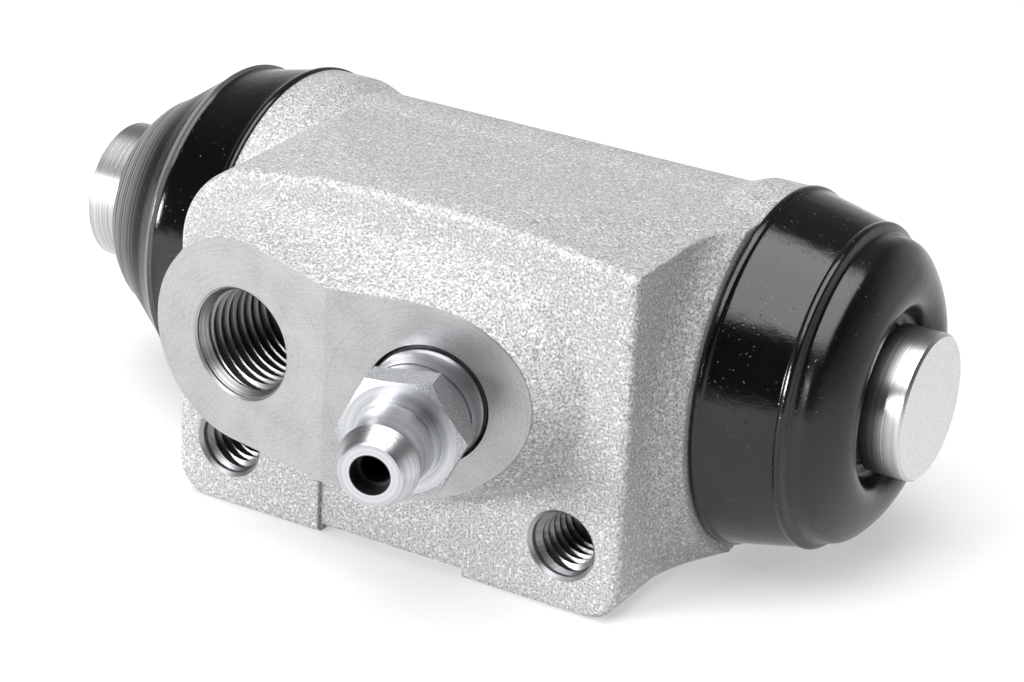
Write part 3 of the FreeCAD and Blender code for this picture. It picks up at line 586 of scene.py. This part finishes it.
def tapped_mouth(name, mouth, out, wall):
    """The tap's lead at a mouth: a cone from just under the wall's radius, then a short drop back."""
    lead = [(-0.42, wall + 0.06), (-0.42, wall - 0.02), (-1.2, wall - 0.42),
            (-1.28, wall - 0.42), (-1.42, wall + 0.06)]
    piece = turned_piece(name, lead, mouth, out, lead_metal)
    sharpen(piece, degrees=20)
    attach(piece, "housing")


tapped_mouth("pipe_port_mouth", PORT_MOUTH, PORT_OUT, wall=5.0)
thread("pipe_port_thread", "housing", PORT_MOUTH, PORT_OUT, wall=5.0, crest=4.46, start=1.3, end=11.2)
for side, word in ((1, "right"), (-1, "left")):
    hole = np.array([side * FIXING_X, 0.0, 0.0])
    name = "fixing_thread_" + word
    thread(name, "housing", hole, FIXING_OUT, wall=3.0, crest=2.46, start=0.75, end=9.4)

# %% [markdown]
# ## The bleed screw's collar
# Behind its hexagon the screw has a turned collar that almost fills the mouth of its hole. It is a
# turned ring on the plain shank, with a shallow groove round it near the pad's plane.

# %% Collar
COLLAR = [(-1.4, 4.78), (-1.4, 5.15), (-1.3, 5.22), (-0.55, 5.22), (-0.45, 5.14), (-0.35, 5.06),
          (-0.2, 5.06), (-0.1, 5.14), (0.1, 5.16), (0.3, 5.12), (0.45, 5.02), (0.9, 4.97),
          (1.6, 4.93), (2.0, 4.9), (2.0, 4.78)]
collar = turned_piece("bleed_screw_collar", COLLAR, BLEED_MOUTH, BLEED_OUT, screw_metal)
sharpen(collar, degrees=40)
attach(collar, "bleed_screw")

# %% [markdown]
# ## Dust boots
# Each boot is turned: a closed outline of its wall, carried round the bore. The outline's corners
# are cut off, and the new corners too, three times, which gives the soft edges of moulded rubber.
# The right boot is pushed back over its piston: its cone ends in a fine bead, then a step down to a
# shoulder that rolls in to the stem and leaves a deep hollow round it. The left one is drawn out.

# %% Boot outlines
def rounded(corners, rounds):
    """Cuts every corner of a closed outline at a quarter of its sides, a few times over."""
    points = np.array(corners, float)
    for _ in range(rounds):
        after = np.roll(points, -1, 0)
        points = np.stack([0.75 * points + 0.25 * after, 0.25 * points + 0.75 * after], 1).reshape(-1, 2)
    return points


BOOT_COLLAR = [
    (28.95, 13.3), (28.95, 12.5), (27.05, 12.5), (27.05, 13.3), (24.9, 13.3), (24.86, 16.1),
    (24.9, 16.37), (25.3, 16.4), (25.6, 16.28), (25.75, 16.05)]

RIGHT_BOOT = BOOT_COLLAR + [
    (27.4, 15.72), (29.0, 15.37), (31.0, 14.93), (31.8, 14.74), (31.95, 14.70), (32.1, 14.78),
    (32.35, 14.82), (32.6, 14.76), (32.75, 14.5), (32.85, 14.25), (33.0, 14.02), (33.2, 13.90),
    (33.5, 13.86), (34.2, 13.80), (34.9, 13.50), (35.6, 12.75), (36.3, 11.8), (36.85, 10.8),
    (37.15, 9.8), (37.1, 8.9), (36.7, 8.25), (36.1, 7.9), (35.4, 7.65), (35.05, 7.3), (35.0, 6.9),
    (35.0, 6.25), (34.55, 6.25), (34.5, 7.2), (34.55, 7.9), (34.95, 8.5), (35.3, 9.3),
    (35.25, 10.2), (34.7, 11.3), (33.7, 12.3), (32.6, 12.95), (31.2, 13.3)]

LEFT_BOOT = BOOT_COLLAR + [
    (27.0, 15.8), (28.0, 15.6), (31.0, 14.95), (31.8, 14.86), (32.05, 14.95), (32.2, 15.14),
    (32.4, 15.14), (32.55, 14.92), (32.9, 14.62), (33.4, 14.3), (34.6, 13.45), (36.2, 12.3),
    (37.7, 11.25), (38.6, 10.65), (39.1, 10.4), (39.5, 10.2), (40.4, 9.4), (41.0, 8.7),
    (41.25, 8.1), (41.35, 7.4), (41.5, 6.9), (41.5, 6.25), (40.05, 6.25), (40.0, 7.4),
    (39.6, 8.3), (38.4, 9.4), (35.8, 11.3), (33.0, 13.2), (31.2, 13.3)]


def boot(side, word, corners):
    """Turns a wall's outline about the bore."""
    name = "dust_boot_skin_" + word
    outline = rounded(corners, rounds=3)
    piece = turned_piece(name, outline, BORE_POINT, (side, 0, 0), boot_rubber)
    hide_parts("dust_boot_" + word)
    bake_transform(piece)


boot(1, "right", RIGHT_BOOT)
boot(-1, "left", LEFT_BOOT)

# %% [markdown]
# ## The return spring
# The spring is hidden in the bore. It is squeezed from both ends, so it is made in two halves that
# meet where neither piston moves it.

# %% Spring
SPRING_START, SPRING_END = (round(corner[0] / MM, 3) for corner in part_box("return_spring"))
SPRING_RADIUS = 5.0
WIRE_RADIUS = 0.55
SPRING_TURNS = 8
WIRE_STEPS = 16


def half_spring(word, first, last):
    """Turns first to last of the coil: a circle in the plane of the axis, carried round it.
    """
    turn = np.linspace(first, last, int((last - first) * STEPS_PER_TURN))
    run = SPRING_END - SPRING_START - 2 * WIRE_RADIUS
    middle = SPRING_START + WIRE_RADIUS + turn / SPRING_TURNS * run
    angle = 2 * math.pi * turn
    spoke = np.stack([np.zeros_like(turn), np.cos(angle), np.sin(angle)], -1)
    wire = np.linspace(0, 2 * math.pi, WIRE_STEPS, endpoint=False)
    radius = SPRING_RADIUS + WIRE_RADIUS * np.cos(wire)
    points = np.array(BORE_POINT, float) + radius[None, :, None] * spoke[:, None, :]
    points[:, :, 0] += middle[:, None] + WIRE_RADIUS * np.sin(wire)[None, :]
    piece = grid_piece("return_spring_" + word, points, False, True, spring_metal)
    sharpen(piece, degrees=40)
    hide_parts("return_spring")
    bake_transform(piece)


half = SPRING_TURNS / 2
half_spring("left", 0, half)
half_spring("right", half, SPRING_TURNS)

# %% [markdown]
# ## The stage
# The floor is a pale sheet at the height of the lugs' feet. A wide softbox hangs over the object, a
# little towards the photographer, and a low strip light stands in front of it to the left. The room
# is dark in front, pale low on the right, and pale behind, where it fades with height. So the black
# boots keep their depth, and the metal has something dark to show between the two lights.

# %% Floor
FLOOR_HALF = 3.0
FLOOR_GLOW = 0.47


def pale_floor():
    """A pale sheet with a glow of its own where it is seen, so that it reaches white."""
    material, tree, shader, _ = new_material("pale_paper")
    shader.inputs["Base Color"].default_value = linear("#b2b2b2")
    shader.inputs["Roughness"].default_value = 0.9
    rays = add(tree, "ShaderNodeLightPath").outputs
    seen = either(tree, rays["Is Camera Ray"], rays["Is Glossy Ray"], rays["Is Transmission Ray"])
    shader.inputs["Emission Color"].default_value = linear("#ffffff")
    tree.links.new(product(tree, seen, FLOOR_GLOW), shader.inputs["Emission Strength"])
    return material


signs = ((-1, -1), (1, -1), (1, 1), (-1, 1))
floor_mesh = bpy.data.meshes.new("floor")
floor_mesh.from_pydata([(x * FLOOR_HALF, y * FLOOR_HALF, FOOT_Z * MM) for x, y in signs], [], [(0, 1, 2, 3)])
floor_mesh.materials.append(pale_floor())
floor = bpy.data.objects.new("floor", floor_mesh)
bpy.context.scene.collection.objects.link(floor)


# %% Lamps and world
def lamp(name, place, target, size, radiance):
    """An area lamp at a place, turned towards a target, all in metres.

    Its power is worked out from how bright its face looks: radiance times area times four.
    """
    data = bpy.data.lights.new(name, "AREA")
    data.shape = "RECTANGLE"
    data.size, data.size_y = size
    data.energy = radiance * size[0] * size[1] * 4
    light = bpy.data.objects.new(name, data)
    light.location = place
    light.rotation_euler = (Vector(target) - Vector(place)).to_track_quat("-Z", "Y").to_euler()
    light.visible_camera = False
    bpy.context.scene.collection.objects.link(light)
    print(name, "power", round(data.energy, 2), "W")


lamp("overhead_softbox", (-0.03, -0.12, 0.51), (-0.03, -0.12, 0), size=(0.56, 0.64), radiance=3.7)
lamp("strip_light", (-0.272, -0.497, 0.165), (0, 0.015, 0.01), size=(0.26, 0.12), radiance=33.0)

ROOM = 0.04
BACK_WALL = 0.16
LOW_GLOW = 0.5
BEHIND_Y = (-0.1, 0.6)
RIGHT_X = (0.2, 0.8)
HIGH_Z = (0.05, 0.45)


def studio_world():
    """A dark room in front, a glow low on the right, and a pale wall behind that fades with height."""
    world = bpy.data.worlds.new("studio")
    world.use_nodes = True
    tree = world.node_tree
    direction = add(tree, "ShaderNodeTexCoord").outputs["Generated"]
    parts = add(tree, "ShaderNodeSeparateXYZ", None, Vector=direction).outputs
    behind = rising(tree, parts["Y"], *BEHIND_Y)
    right = rising(tree, parts["X"], *RIGHT_X)
    low = opposite(tree, rising(tree, parts["Z"], *HIGH_Z))
    glow = product(tree, low, LOW_GLOW)
    wall = calculate(tree, "ADD", BACK_WALL, glow)
    lit = weighted(tree, (wall, behind), (glow, right))
    background = tree.nodes["Background"]
    background.inputs["Color"].default_value = linear("#ffffff")
    tree.links.new(calculate(tree, "ADD", ROOM, lit), background.inputs["Strength"])
    bpy.context.scene.world = world


studio_world()
bpy.context.scene.view_settings.view_transform = "Standard"

# %% [markdown]
# ## The camera
# It stands 0.29 m away, 29 degrees round to the right and 24 degrees up, with a long lens and a
# slight roll. This place was fitted to the edges and circles that the photograph shows.

# %% Camera
AZIMUTH = math.radians(28.864)
ELEVATION = math.radians(24.128)
ROLL = math.radians(3.032)
CAMERA_MM = Vector((129.99, -215.32, 127.71))
LENS_PIXELS = 3221.213
FRAME_PIXELS = 1024
SENSOR_MM = 36
level = math.cos(ELEVATION)
back = Vector((math.sin(AZIMUTH) * level, -math.cos(AZIMUTH) * level, math.sin(ELEVATION)))
right = Vector((math.cos(AZIMUTH), math.sin(AZIMUTH), 0))
up = back.cross(right)
turned_right = math.cos(ROLL) * right + math.sin(ROLL) * up
turned_up = math.cos(ROLL) * up - math.sin(ROLL) * right
lens = bpy.data.cameras.new("camera")
lens.sensor_width = SENSOR_MM
lens.lens = LENS_PIXELS / FRAME_PIXELS * SENSOR_MM
lens.clip_start = 0.01
camera = bpy.data.objects.new("camera", lens)
turn = Matrix((turned_right, turned_up, back)).transposed().to_4x4()
camera.matrix_world = Matrix.Translation(CAMERA_MM * MM) @ turn
bpy.context.scene.collection.objects.link(camera)
bpy.context.scene.camera = camera
